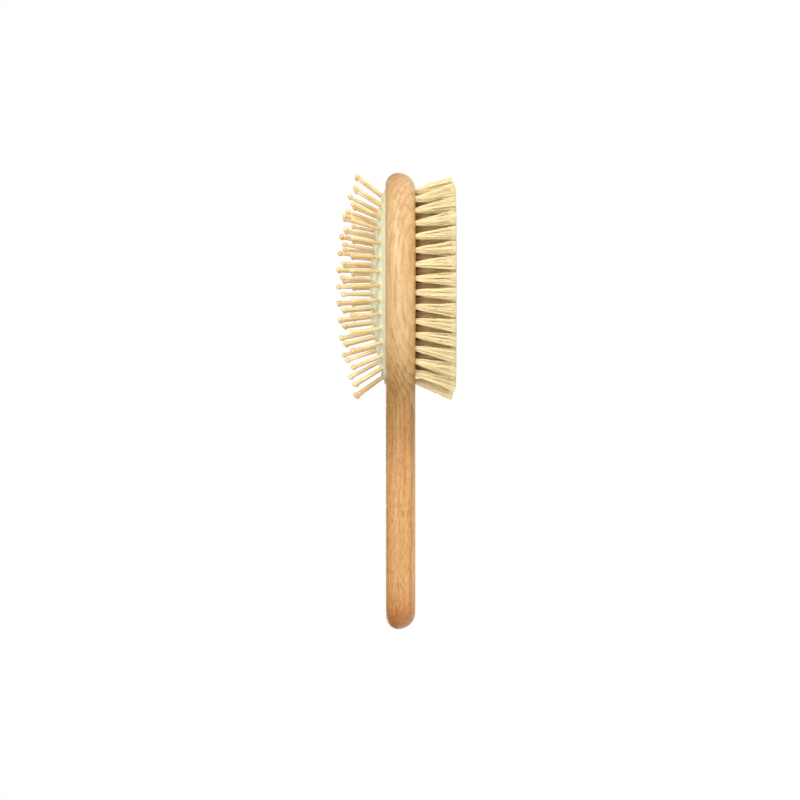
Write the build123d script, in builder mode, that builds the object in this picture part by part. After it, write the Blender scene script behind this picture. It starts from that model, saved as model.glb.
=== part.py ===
"""Double-sided vanity hairbrush: a beech body with ball-tipped wooden pins on an air-filled
rubber cushion on one face, and tufts of natural bristle set in the wood on the other.

The brush lies on its trimmed bristle tips, which are the plane Z = 0. +X runs along the brush
towards the head, +Y across it and +Z towards the wooden pins. Sizes are in millimetres and
degrees.
"""

import math
import os
import random

from build123d import *

# Wooden body
BRUSH_LENGTH = 230.0
WOOD_THICKNESS = 15.0
HEAD_LENGTH = 115.0
HEAD_WIDTH = 60.0
HEAD_END_RADIUS = 20.0
NECK_WIDTH = 20.6
NECK_RADIUS = 30.0
NECK_STRAIGHT = 16.0
HANDLE_SWELL_WIDTH = 25.6
HANDLE_SWELL_FROM_END = 45.0
HANDLE_END_RADIUS = 12.0
PIN_SIDE_ROUNDING = 6.2
BRISTLE_SIDE_ROUNDING = 8.6

# Pocket that holds the cushion, with a groove for its bead
RIM_MARGIN = 8.3
POCKET_DEPTH = 6.0
BEAD_LEVEL = 2.6
BEAD_HEIGHT = 1.5
BEAD_REACH = 1.1
RUBBER_FIT = 0.08

# Rubber cushion
CREST_HEIGHT = 7.8
RIM_RISE = 0.5
RIM_ROUNDING = 0.4
SKIN_THICKNESS = 1.5
SKIRT_THICKNESS = 1.6
BOSS_DIAMETER = 3.8
BOSS_RISE = 0.5
BOSS_DEPTH = 2.4
VENT_DIAMETER = 1.2
VENT_FROM_END = 6.6

# Wooden pins, in rings that follow the cushion's edge
PIN_RINGS = (("outer", 30, 2.0), ("middle", 24, 2.2), ("inner", 18, 4.0))
PIN_RING_INSET = 3.0
PIN_RING_SPACING = 7.2
PIN_LENGTH = 16.3
PIN_DIAMETER = 1.9
PIN_NECK_DIAMETER = 1.65
BALL_DIAMETER = 2.6
FOOT_DIAMETER = 3.2
FOOT_THICKNESS = 1.0
PIN_CLEARANCE = 0.05
FOOT_CLEARANCE = 0.25
PIN_LEAN_AT_END = 37.0
PIN_LEAN_AT_SIDE = 32.0
PIN_LEAN_POWER = 1.7
PIN_UNEVENNESS = 2.5
PIN_SEED = 5

# Bristle tufts, in rings that follow the head's edge around one middle row
TUFT_RINGS = (("outer", 32, 2.0), ("second", 26, 2.0), ("third", 20, 2.0))
TUFT_ROW_COUNT = 7
TUFT_ROW_PITCH = 7.2
TUFT_RING_MARGIN = 9.2
TUFT_RING_SPACING = 7.0
BRISTLE_LENGTH = 20.5
TUFT_HOLE_DIAMETER = 2.7
TUFT_HOLE_DEPTH = 5.5
TUFT_CLEARANCE = 0.05
TUFT_TIP_GAP = 0.5
TUFT_LEAN_AT_END = 10.0
TUFT_LEAN_AT_SIDE = 6.0

# Wire anchors that hold the folded tufts in their holes
ANCHOR_BITE = 0.2
ANCHOR_THICKNESS = 0.4
ANCHOR_HEIGHT = 0.7

# Places that follow from the sizes
TIP_X = BRUSH_LENGTH / 2
HEAD_X = TIP_X - HEAD_LENGTH / 2
HEAD_REAR_X = TIP_X - HEAD_LENGTH
HANDLE_END_X = -BRUSH_LENGTH / 2
WOOD_BOTTOM = BRISTLE_LENGTH
WOOD_TOP = WOOD_BOTTOM + WOOD_THICKNESS
POCKET_FLOOR = WOOD_TOP - POCKET_DEPTH
CREST_Z = WOOD_TOP + CREST_HEIGHT
CUSHION_HALF_LENGTH = HEAD_LENGTH / 2 - RIM_MARGIN
CUSHION_HALF_WIDTH = HEAD_WIDTH / 2 - RIM_MARGIN


def arc_radius(half_chord, rise):
    """Radius of the arc that rises by `rise` in the middle of a chord."""
    return (half_chord**2 + rise**2) / (2 * rise)


# The head's outline is an oval of two end arcs and two side arcs that join smoothly.
HEAD_SIDE_RADIUS = (
    (HEAD_LENGTH / 2) ** 2 - HEAD_LENGTH * HEAD_END_RADIUS + (HEAD_WIDTH / 2) ** 2
) / (HEAD_WIDTH - 2 * HEAD_END_RADIUS)
END_ARC_X = HEAD_LENGTH / 2 - HEAD_END_RADIUS
SIDE_ARC_Y = HEAD_SIDE_RADIUS - HEAD_WIDTH / 2
ARC_JOIN = math.degrees(math.atan2(SIDE_ARC_Y, END_ARC_X))

# The neck's fillet ends on the head's end arc, which limits its radius.
JOIN_SINE = math.sin(math.radians(ARC_JOIN))
MOST_NECK_RADIUS = (HEAD_END_RADIUS * JOIN_SINE - NECK_WIDTH / 2) / (1 - JOIN_SINE)
NECK_FILLET = min(NECK_RADIUS, 0.95 * MOST_NECK_RADIUS)

# The dome is an arc across the cushion, carried along a flatter arc from end to end.
ACROSS_RADIUS = arc_radius(CUSHION_HALF_WIDTH, CREST_HEIGHT - RIM_RISE)
ALONG_RADIUS = arc_radius(CUSHION_HALF_LENGTH, CREST_HEIGHT - RIM_RISE)
DOME_AXIS_Z = CREST_Z - ACROSS_RADIUS


def dome_height(x, y):
    """Level of the cushion's outer skin at a place measured from the head's centre."""
    crest_here = CREST_Z - ALONG_RADIUS + math.sqrt(ALONG_RADIUS**2 - x**2)
    return DOME_AXIS_Z + math.sqrt((crest_here - DOME_AXIS_Z) ** 2 - y**2)


def ring_places(half_length, half_width, count, squareness):
    """Evenly spaced places round an oval, counter-clockwise from just beside its +X end.

    A squareness of 2 makes an ellipse, and more makes its sides straighter.
    """
    steps = 3600
    outline = []
    for i in range(steps + 1):
        turn = 2 * math.pi * i / steps
        c, s = math.cos(turn), math.sin(turn)
        outline.append(
            (
                math.copysign(half_length * abs(c) ** (2 / squareness), c),
                math.copysign(half_width * abs(s) ** (2 / squareness), s),
            )
        )
    travelled = [0.0]
    for a, b in zip(outline, outline[1:]):
        travelled.append(travelled[-1] + math.dist(a, b))
    places, at = [], 0
    for k in range(count):
        wanted = travelled[-1] * (k + 0.5) / count
        while travelled[at + 1] < wanted:
            at += 1
        places.append(outline[at])
    return places


def leaning(lean_x, lean_y, way):
    """Unit vector that leans by two angles from the Z axis, way = 1 for up or -1 for down."""
    x = math.tan(math.radians(lean_x))
    y = math.tan(math.radians(lean_y))
    return Vector(x, y, way).normalized()


def pin_seats():
    """(ring name, [(place on the skin, direction) of each pin]) for each ring of pins."""
    uneven = random.Random(PIN_SEED)
    rings = []
    for number, (ring, count, squareness) in enumerate(PIN_RINGS):
        inset = PIN_RING_INSET + number * PIN_RING_SPACING
        half_length = CUSHION_HALF_LENGTH - inset
        half_width = CUSHION_HALF_WIDTH - inset
        seats = []
        for x, y in ring_places(half_length, half_width, count, squareness):
            along = abs(x) / (CUSHION_HALF_LENGTH - PIN_RING_INSET)
            across = y / (CUSHION_HALF_WIDTH - PIN_RING_INSET)
            lean_x = math.copysign(PIN_LEAN_AT_END * along**PIN_LEAN_POWER, x)
            lean_y = PIN_LEAN_AT_SIDE * across
            lean_x += uneven.uniform(-PIN_UNEVENNESS, PIN_UNEVENNESS)
            lean_y += uneven.uniform(-PIN_UNEVENNESS, PIN_UNEVENNESS)
            seat = Vector(HEAD_X + x, y, dome_height(x, y))
            seats.append((seat, leaning(lean_x, lean_y, 1)))
        rings.append((ring, seats))
    return rings


def tuft_seats():
    """(ring name, [(place on the wood, direction) of each tuft]) for each ring of tufts."""
    rings = []
    for number, (ring, count, squareness) in enumerate(TUFT_RINGS):
        inset = TUFT_RING_MARGIN + number * TUFT_RING_SPACING
        half_length = HEAD_LENGTH / 2 - inset
        half_width = HEAD_WIDTH / 2 - inset
        rings.append((ring, ring_places(half_length, half_width, count, squareness)))
    middle = (TUFT_ROW_COUNT - 1) / 2
    row = [((k - middle) * TUFT_ROW_PITCH, 0.0) for k in range(TUFT_ROW_COUNT)]
    rings.append(("middle", row))
    return [(ring, [tuft_seat(x, y) for x, y in places]) for ring, places in rings]


def tuft_seat(x, y):
    """A tuft's place on the wood's bristle face and the direction in which it grows."""
    lean_x = TUFT_LEAN_AT_END * x / (HEAD_LENGTH / 2 - TUFT_RING_MARGIN)
    lean_y = TUFT_LEAN_AT_SIDE * y / (HEAD_WIDTH / 2 - TUFT_RING_MARGIN)
    return Vector(HEAD_X + x, y, WOOD_BOTTOM), leaning(lean_x, lean_y, -1)


PINS = pin_seats()
TUFTS = tuft_seats()
ALL_PINS = [seat for _, seats in PINS for seat in seats]
ALL_TUFTS = [seat for _, seats in TUFTS for seat in seats]


def closest(seats):
    """Smallest distance between any two seats."""
    places = [place for place, _ in seats]
    return min(
        (a - b).length for i, a in enumerate(places) for b in places[i + 1 :]
    )


TUFT_TIP_RADIUS = (closest(ALL_TUFTS) - TUFT_TIP_GAP) / 2


def turning_plane(place, direction):
    """Plane through a leaning axis: its local Y runs along the axis from the place."""
    side = direction.cross(Vector(0, 1, 0)).normalized()
    return Plane(origin=place, x_dir=side, z_dir=side.cross(direction))


def standing_plane(place, direction, depth=0.0):
    """Plane square to a leaning axis, `depth` back along it from the place."""
    return Plane(origin=place - direction * depth, z_dir=direction)


def draw_oval(inset):
    """Face of the head's four-centre oval, drawn `inset` inside its edge in the open sketch."""
    with BuildLine() as outline:
        for turn in (0, 180):
            end = Vector(END_ARC_X, 0).rotate(Axis.Z, turn) + Vector(HEAD_X, 0)
            side = Vector(0, -SIDE_ARC_Y).rotate(Axis.Z, turn) + Vector(HEAD_X, 0)
            CenterArc(end, HEAD_END_RADIUS - inset, turn - ARC_JOIN, 2 * ARC_JOIN)
            CenterArc(side, HEAD_SIDE_RADIUS - inset, turn + ARC_JOIN, 180 - 2 * ARC_JOIN)
    make_face(outline.edges())


def draw_handle():
    """Face of the handle's plan: a straight neck, a gentle swell and a round end."""
    neck_start = (HEAD_REAR_X + HEAD_END_RADIUS, NECK_WIDTH / 2)
    neck_end = (HEAD_REAR_X - NECK_STRAIGHT, NECK_WIDTH / 2)
    swell = (HANDLE_END_X + HANDLE_SWELL_FROM_END, HANDLE_SWELL_WIDTH / 2)
    end_top = (HANDLE_END_X + HANDLE_END_RADIUS, HANDLE_END_RADIUS)
    with BuildLine() as outline:
        Line((neck_start[0], 0), neck_start)
        Line(neck_start, neck_end)
        Spline(neck_end, swell, end_top, tangents=((-1, 0), (-1, 0)))
        CenterArc((end_top[0], 0), HANDLE_END_RADIUS, 90, 90)
        mirror(about=Plane.XZ)
    make_face(outline.edges())


def dome_section(thinner):
    """Draw the region between the dome's axis and its lengthwise arc in the open sketch."""
    reach = CUSHION_HALF_LENGTH + RIM_MARGIN / 4
    radius = ALONG_RADIUS - thinner
    end_z = CREST_Z - ALONG_RADIUS + math.sqrt(radius**2 - reach**2)
    with BuildLine() as outline:
        ThreePointArc((-reach, end_z), (0, CREST_Z - thinner), (reach, end_z))
        Polyline(
            (reach, end_z), (reach, DOME_AXIS_Z), (-reach, DOME_AXIS_Z), (-reach, end_z)
        )
    make_face(outline.edges())


HEAD_UPRIGHT = Plane(origin=(HEAD_X, 0, 0), x_dir=(1, 0, 0), z_dir=(0, -1, 0))
DOME_AXIS = Axis((HEAD_X, 0, DOME_AXIS_Z), (1, 0, 0))

os.makedirs("parts", exist_ok=True)

# Wooden body: plan outline, rounded all round, with the cushion's pocket and the tufts' holes
with BuildPart() as wooden_body:
    with BuildSketch(Plane.XY.offset(WOOD_BOTTOM)) as plan:
        draw_oval(0)
        draw_handle()
        neck_corners = [
            corner
            for corner in plan.vertices()
            if math.isclose(abs(corner.Y), NECK_WIDTH / 2) and corner.X > HEAD_REAR_X
        ]
        fillet(neck_corners, NECK_FILLET)
    extrude(amount=WOOD_THICKNESS)
    fillet(wooden_body.faces().sort_by(Axis.Z)[-1].edges(), PIN_SIDE_ROUNDING)
    fillet(wooden_body.faces().sort_by(Axis.Z)[0].edges(), BRISTLE_SIDE_ROUNDING)
    with BuildSketch(Plane.XY.offset(POCKET_FLOOR)):
        draw_oval(RIM_MARGIN)
    extrude(amount=POCKET_DEPTH, mode=Mode.SUBTRACT)
    with BuildSketch(Plane.XY.offset(POCKET_FLOOR + BEAD_LEVEL - RUBBER_FIT)):
        draw_oval(RIM_MARGIN - BEAD_REACH - RUBBER_FIT)
    extrude(amount=BEAD_HEIGHT + 2 * RUBBER_FIT, mode=Mode.SUBTRACT)
    with Locations(
        *(standing_plane(place, way, TUFT_HOLE_DEPTH) for place, way in ALL_TUFTS)
    ):
        Cylinder(
            TUFT_HOLE_DIAMETER / 2,
            TUFT_HOLE_DEPTH + BRISTLE_LENGTH / 4,
            align=(Align.CENTER, Align.CENTER, Align.MIN),
            mode=Mode.SUBTRACT,
        )

wooden_body.part.label = "wooden_body"
export_step(wooden_body.part, "parts/wooden_body.step")

# Rubber cushion: a domed skin on a skirt, with a bead in the wood's groove and a boss round each
# pin. Its chamber is open below, and the wood closes it.
with BuildPart() as chamber:
    with BuildSketch(Plane.XY.offset(POCKET_FLOOR)):
        draw_oval(RIM_MARGIN + RUBBER_FIT + SKIRT_THICKNESS)
    extrude(amount=POCKET_DEPTH + CREST_HEIGHT)
    with BuildSketch(HEAD_UPRIGHT):
        dome_section(SKIN_THICKNESS)
    revolve(axis=DOME_AXIS, mode=Mode.INTERSECT)

# The bosses, cut back where a wide head would lean one into the wall of the pocket
with BuildPart() as bosses:
    with Locations(*(standing_plane(*seat, BOSS_DEPTH) for seat in ALL_PINS)):
        Cylinder(
            BOSS_DIAMETER / 2,
            BOSS_DEPTH + BOSS_RISE,
            align=(Align.CENTER, Align.CENTER, Align.MIN),
        )
    with BuildSketch(Plane.XY.offset(POCKET_FLOOR)):
        draw_oval(0)
        with BuildSketch(mode=Mode.SUBTRACT):
            draw_oval(RIM_MARGIN + RUBBER_FIT)
    extrude(amount=POCKET_DEPTH, mode=Mode.SUBTRACT)

with BuildPart() as cushion:
    with BuildSketch(Plane.XY.offset(POCKET_FLOOR + RUBBER_FIT)):
        draw_oval(RIM_MARGIN + RUBBER_FIT)
    extrude(amount=POCKET_DEPTH + CREST_HEIGHT)
    with BuildSketch(HEAD_UPRIGHT):
        dome_section(0)
    revolve(axis=DOME_AXIS, mode=Mode.INTERSECT)
    fillet(cushion.edges().group_by(Axis.Z)[-1], RIM_ROUNDING)
    with BuildSketch(Plane.XY.offset(POCKET_FLOOR + BEAD_LEVEL)):
        draw_oval(RIM_MARGIN - BEAD_REACH)
    extrude(amount=BEAD_HEIGHT)
    add(chamber.part, mode=Mode.SUBTRACT)
    add(bosses.part)
    with Locations(*(standing_plane(*seat) for seat in ALL_PINS)):
        Cylinder(
            PIN_DIAMETER / 2 + PIN_CLEARANCE,
            4 * BOSS_DEPTH,
            mode=Mode.SUBTRACT,
        )
    with Locations(*(standing_plane(*seat, BOSS_DEPTH) for seat in ALL_PINS)):
        Cylinder(
            FOOT_DIAMETER / 2 + FOOT_CLEARANCE,
            PIN_CLEARANCE + FOOT_THICKNESS + FOOT_CLEARANCE,
            align=(Align.CENTER, Align.CENTER, Align.MAX),
            mode=Mode.SUBTRACT,
        )
    with Locations((HEAD_X - CUSHION_HALF_LENGTH + VENT_FROM_END, 0, WOOD_TOP)):
        Cylinder(VENT_DIAMETER / 2, 2 * CREST_HEIGHT, mode=Mode.SUBTRACT)

cushion.part.label = "cushion"
export_step(cushion.part, "parts/cushion.step")


def make_pin_pair(name, pair):
    """Two neighbouring turned pins: a foot under the skin, a tapered shaft and a ball tip."""
    foot_top = -(BOSS_DEPTH + PIN_CLEARANCE)
    foot_bottom = foot_top - FOOT_THICKNESS
    ball, neck = BALL_DIAMETER / 2, PIN_NECK_DIAMETER / 2
    ball_foot = PIN_LENGTH - math.sqrt(ball**2 - neck**2)
    with BuildPart() as pins:
        for place, direction in pair:
            with BuildSketch(turning_plane(place, direction)):
                with BuildLine():
                    Polyline(
                        (0, PIN_LENGTH + ball),
                        (0, foot_bottom),
                        (FOOT_DIAMETER / 2, foot_bottom),
                        (FOOT_DIAMETER / 2, foot_top),
                        (PIN_DIAMETER / 2, foot_top),
                        (PIN_DIAMETER / 2, BOSS_RISE),
                        (neck, ball_foot),
                    )
                    ThreePointArc(
                        (neck, ball_foot), (ball, PIN_LENGTH), (0, PIN_LENGTH + ball)
                    )
                make_face()
            revolve(axis=Axis(place, direction))
    pins.part.label = name
    export_step(pins.part, f"parts/{name}.step")


for ring, seats in PINS:
    for number, pair in enumerate(zip(seats[::2], seats[1::2]), start=1):
        make_pin_pair(f"{ring}_pins_{number:02d}", pair)

# Tufts of bristle, each packed into its hole and flaring to the trimmed tips
FLARE = (TUFT_TIP_RADIUS - TUFT_HOLE_DIAMETER / 2) / BRISTLE_LENGTH
UNCUT_LENGTH = BRISTLE_LENGTH * 1.2
TUFT_ROOT_RADIUS = TUFT_HOLE_DIAMETER / 2 - TUFT_CLEARANCE
TUFT_PACKED_DEPTH = TUFT_HOLE_DEPTH - ANCHOR_HEIGHT - 2 * TUFT_CLEARANCE

for ring, seats in TUFTS:
    with BuildPart() as tufts:
        with Locations(*(standing_plane(*seat) for seat in seats)):
            Cone(
                TUFT_ROOT_RADIUS,
                TUFT_ROOT_RADIUS + FLARE * UNCUT_LENGTH,
                UNCUT_LENGTH,
                align=(Align.CENTER, Align.CENTER, Align.MIN),
            )
        with Locations(*(standing_plane(*seat, TUFT_PACKED_DEPTH) for seat in seats)):
            Cylinder(
                TUFT_ROOT_RADIUS,
                TUFT_PACKED_DEPTH,
                align=(Align.CENTER, Align.CENTER, Align.MIN),
            )
        split(bisect_by=Plane.XY, keep=Keep.TOP)
    tufts.part.label = f"{ring}_tufts"
    export_step(tufts.part, f"parts/{ring}_tufts.step")

# Wire anchors, one at the closed end of each tuft's hole, biting into the wood on both sides
with BuildPart() as tuft_anchors:
    anchor_top = TUFT_HOLE_DEPTH - TUFT_CLEARANCE
    with Locations(*(standing_plane(*seat, anchor_top) for seat in ALL_TUFTS)):
        Box(
            TUFT_HOLE_DIAMETER + 2 * ANCHOR_BITE,
            ANCHOR_THICKNESS,
            ANCHOR_HEIGHT,
            align=(Align.CENTER, Align.CENTER, Align.MIN),
        )

tuft_anchors.part.label = "tuft_anchors"
export_step(tuft_anchors.part, "parts/tuft_anchors.step")
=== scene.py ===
"""Looks of a double-sided hairbrush: beech body, air cushion with wooden pins, tufts of natural bristle.

Lengths are in metres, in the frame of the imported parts. The brush lies on its trimmed bristle tips, which are
the plane Z = 0. +X runs along it towards the head, +Y across it and +Z towards the wooden pins.
"""

import logging
import math
from collections.abc import Iterator
from dataclasses import dataclass, field
from enum import Enum
from typing import Union

import bmesh
import bpy
import numpy as np
from mathutils import Matrix, Vector


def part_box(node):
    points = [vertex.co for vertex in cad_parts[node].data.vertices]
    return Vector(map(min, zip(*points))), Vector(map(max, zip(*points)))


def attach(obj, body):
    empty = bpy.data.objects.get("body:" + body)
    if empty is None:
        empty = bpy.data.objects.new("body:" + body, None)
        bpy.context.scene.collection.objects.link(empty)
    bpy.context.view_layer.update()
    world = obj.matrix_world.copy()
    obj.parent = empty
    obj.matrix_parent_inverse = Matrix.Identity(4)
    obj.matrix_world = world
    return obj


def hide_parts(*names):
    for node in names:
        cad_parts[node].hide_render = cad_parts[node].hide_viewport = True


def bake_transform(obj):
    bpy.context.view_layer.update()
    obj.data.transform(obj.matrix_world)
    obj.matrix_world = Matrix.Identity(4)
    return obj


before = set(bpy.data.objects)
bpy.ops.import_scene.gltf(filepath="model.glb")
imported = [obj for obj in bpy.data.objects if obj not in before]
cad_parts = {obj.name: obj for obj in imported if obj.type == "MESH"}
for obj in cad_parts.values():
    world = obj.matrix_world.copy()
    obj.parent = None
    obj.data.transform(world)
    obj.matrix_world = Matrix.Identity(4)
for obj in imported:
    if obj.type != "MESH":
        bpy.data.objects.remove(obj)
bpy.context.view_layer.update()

log = logging.getLogger("hairbrush")
MM = 0.001
ROUGH_TURN = 6.28  # a full turn in radians, to two decimals, for random angles and for waves
STRAND_MAP = "OFBake"
Number = Union["Shade", float]
Span = tuple[float, float]
Triple = tuple[float, float, float]


class Body(Enum):
    """The bodies that the builder's own pieces follow."""

    WOOD = "handle_and_head"
    RUBBER = "air_cushion"


class Slot(Enum):
    """The record's material slots."""

    BEECH = "beech"
    PIN_WOOD = "pin_wood"
    RUBBER = "rubber"
    BRISTLE = "bristle"
    WIRE = "anchor_wire"


class Blend(Enum):
    """How one colour is laid on another."""

    MIX = "MIX"
    MULTIPLY = "MULTIPLY"


class TuftRing(Enum):
    """The groups of tufts, from the head's edge inwards."""

    OUTER = "outer_tufts"
    SECOND = "second_tufts"
    THIRD = "third_tufts"
    MIDDLE = "middle_tufts"


def linear(hexadecimal: str) -> tuple[float, float, float, float]:
    """A screen colour such as "E8C89A" as the linear colour that shaders take.

    Args:
        hexadecimal: Red, green and blue, two digits each.

    Returns:
        Red, green, blue and an alpha of 1.
    """
    channels = [int(hexadecimal[i : i + 2], 16) / 255 for i in (0, 2, 4)]
    return (*(c / 12.92 if c <= 0.04045 else ((c + 0.055) / 1.055) ** 2.4 for c in channels), 1.0)


# ---------------------------------------------------------------------------------------------
# Shader trees


class Shade:
    """A socket of a material's tree. Arithmetic on it adds the Math nodes that the sum needs."""

    def __init__(self, tree: "ShaderTree", socket: bpy.types.NodeSocket) -> None:
        """Keeps the socket, and the tree that further nodes go to."""
        self.tree = tree
        self.socket = socket

    def _sum(self, operation: str, *values: Number) -> "Shade":
        """One Math node with these values on its sockets."""
        return self.tree.node("ShaderNodeMath", {"operation": operation}, dict(enumerate(values)))

    def __add__(self, other: Number) -> "Shade":
        """This plus other."""
        return self._sum("ADD", self, other)

    def __radd__(self, other: Number) -> "Shade":
        """Other plus this."""
        return self._sum("ADD", other, self)

    def __sub__(self, other: Number) -> "Shade":
        """This less other."""
        return self._sum("SUBTRACT", self, other)

    def __rsub__(self, other: Number) -> "Shade":
        """Other less this."""
        return self._sum("SUBTRACT", other, self)

    def __mul__(self, other: Number) -> "Shade":
        """This times other."""
        return self._sum("MULTIPLY", self, other)

    def __rmul__(self, other: Number) -> "Shade":
        """Other times this."""
        return self._sum("MULTIPLY", other, self)

    def __truediv__(self, other: Number) -> "Shade":
        """This over other."""
        return self._sum("DIVIDE", self, other)

    def __rtruediv__(self, other: Number) -> "Shade":
        """Other over this."""
        return self._sum("DIVIDE", other, self)

    def __pow__(self, other: Number) -> "Shade":
        """This to the power of other."""
        return self._sum("POWER", self, other)

    def __rpow__(self, other: Number) -> "Shade":
        """Other to the power of this."""
        return self._sum("POWER", other, self)

    def __abs__(self) -> "Shade":
        """This without its sign."""
        return self._sum("ABSOLUTE", self)

    def __gt__(self, other: Number) -> "Shade":
        """1 where this is more than other, and 0 elsewhere."""
        return self._sum("GREATER_THAN", self, other)

    def fraction(self) -> "Shade":
        """What is left of this after its whole number."""
        return self._sum("FRACT", self)

    def between(self, low: float, high: float, to_low: float = 0.0, to_high: float = 1.0) -> "Shade":
        """This eased from one range to another and held inside it.

        Args:
            low: The value that gives to_low.
            high: The value that gives to_high.
            to_low: The result at and beyond low.
            to_high: The result at and beyond high.

        Returns:
            The eased value.
        """
        return self.tree.node(
            "ShaderNodeMapRange",
            {"interpolation_type": "SMOOTHSTEP"},
            {0: self, 1: low, 2: high, 3: to_low, 4: to_high},
        )

    def part(self, name: str) -> "Shade":
        """Another output of the same node."""
        return Shade(self.tree, self.socket.node.outputs[name])


class ShaderTree:
    """The nodes of one material around its Principled surface."""

    def __init__(self, name: str) -> None:
        """Makes the material, with a surface that nothing feeds yet."""
        self.material = bpy.data.materials.new(name)
        self.material.use_nodes = True
        tree = self.material.node_tree
        tree.nodes.clear()
        self.nodes, self.links = tree.nodes, tree.links
        self.surface = self.nodes.new("ShaderNodeBsdfPrincipled")
        output = self.nodes.new("ShaderNodeOutputMaterial")
        self.links.new(self.surface.outputs["BSDF"], output.inputs["Surface"])

    def plug(self, socket: bpy.types.NodeSocket, value: object) -> None:
        """Links a Shade to the socket, or sets a constant on it."""
        if isinstance(value, Shade):
            self.links.new(value.socket, socket)
        else:
            socket.default_value = value

    def node(
        self,
        kind: str,
        settings: dict[str, object] | None = None,
        sockets: dict[str | int, object] | None = None,
        output: str | int = 0,
    ) -> Shade:
        """Adds any node.

        Args:
            kind: Blender's name of the node's type.
            settings: Its settings by name. A ramp's "stops" are (place, colour) pairs.
            sockets: A value or a Shade for each input that isn't left as it is.
            output: The output that is wanted.

        Returns:
            That output.
        """
        made = self.nodes.new(kind)
        for name, value in (settings or {}).items():
            if name == "stops":
                self._set_stops(made.color_ramp, value)
            else:
                setattr(made, name, value)
        for name, value in (sockets or {}).items():
            self.plug(made.inputs[name], value)
        return Shade(self, made.outputs[output])

    def _set_stops(self, ramp: bpy.types.ColorRamp, stops: object) -> None:
        """Gives a ramp its (place, colour) stops, in rising order."""
        while len(ramp.elements) > 1:
            ramp.elements.remove(ramp.elements[-1])
        for number, (place, colour) in enumerate(stops):
            element = ramp.elements[0] if number == 0 else ramp.elements.new(place)
            element.position = place
            element.color = colour

    def feed(self, **sockets: object) -> bpy.types.Material:
        """Feeds the surface and hands back the finished material.

        Args:
            sockets: Values or Shades by socket name, with _ for each space.

        Returns:
            The material.
        """
        for name, value in sockets.items():
            self.plug(self.surface.inputs[name.replace("_", " ")], value)
        return self.material

    def place(self) -> Shade:
        """The point on the piece, in millimetres."""
        metres = self.node("ShaderNodeTexCoord", output="Object")
        return self.scaled(metres, (1 / MM, 1 / MM, 1 / MM))

    def scaled(self, vector: Shade, by: Triple) -> Shade:
        """A vector times another, axis by axis."""
        return self.node("ShaderNodeVectorMath", {"operation": "MULTIPLY"}, {0: vector, 1: by})

    def axes(self, vector: Shade) -> tuple[Shade, Shade, Shade]:
        """A vector's X, Y and Z."""
        x = self.node("ShaderNodeSeparateXYZ", {}, {0: vector})
        return x, x.part("Y"), x.part("Z")

    def noise(self, place: Shade, grain: Triple, detail: float) -> Shade:
        """Soft noise from 0 to 1.

        Args:
            place: The point, in millimetres.
            grain: The noise's size along each axis, in millimetres.
            detail: How many finer layers are added.

        Returns:
            The noise's value.
        """
        at = self.scaled(place, tuple(1 / size for size in grain))
        return self.node("ShaderNodeTexNoise", {}, {"Vector": at, "Scale": 1.0, "Detail": detail})

    def flecks(self, place: Shade, grain: Triple, width: float, share: float) -> Shade:
        """Scattered spindle-shaped flecks.

        Args:
            place: The point, in millimetres.
            grain: The room of one fleck along each axis, in millimetres.
            width: The fleck's half-size as a share of its room.
            share: How many of the rooms hold a fleck, from 0 to 1.

        Returns:
            1 in the middle of a fleck, and 0 between them.
        """
        at = self.scaled(place, tuple(1 / size for size in grain))
        cells = self.node("ShaderNodeTexVoronoi", {}, {"Vector": at, "Scale": 1.0}, "Distance")
        lot, _, _ = self.axes(cells.part("Color"))
        return cells.between(width, width / 3) * (lot > 1 - share)

    def mix(self, factor: Number, under: object, over: object, how: Blend = Blend.MIX) -> Shade:
        """Lays one colour on another.

        Args:
            factor: How much of the second colour shows.
            under: The first colour.
            over: The second colour.
            how: The way they mix.

        Returns:
            The mixed colour.
        """
        settings = {"data_type": "RGBA", "blend_type": how.value}
        return self.node("ShaderNodeMix", settings, {0: factor, 6: under, 7: over}, 2)

    def bump(self, height: Shade, depth: float, strength: float = 1.0, over: Shade | None = None) -> Shade:
        """A normal that follows a height.

        Args:
            height: The height from 0 to 1.
            depth: How far 1 stands out, in metres.
            strength: How much of the bump is taken.
            over: A normal from a coarser bump below this one.

        Returns:
            The normal.
        """
        sockets = {"Height": height, "Distance": depth, "Strength": strength}
        if over is not None:
            sockets["Normal"] = over
        return self.node("ShaderNodeBump", {}, sockets)


# ---------------------------------------------------------------------------------------------
# Finishes, some with painted shade


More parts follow.
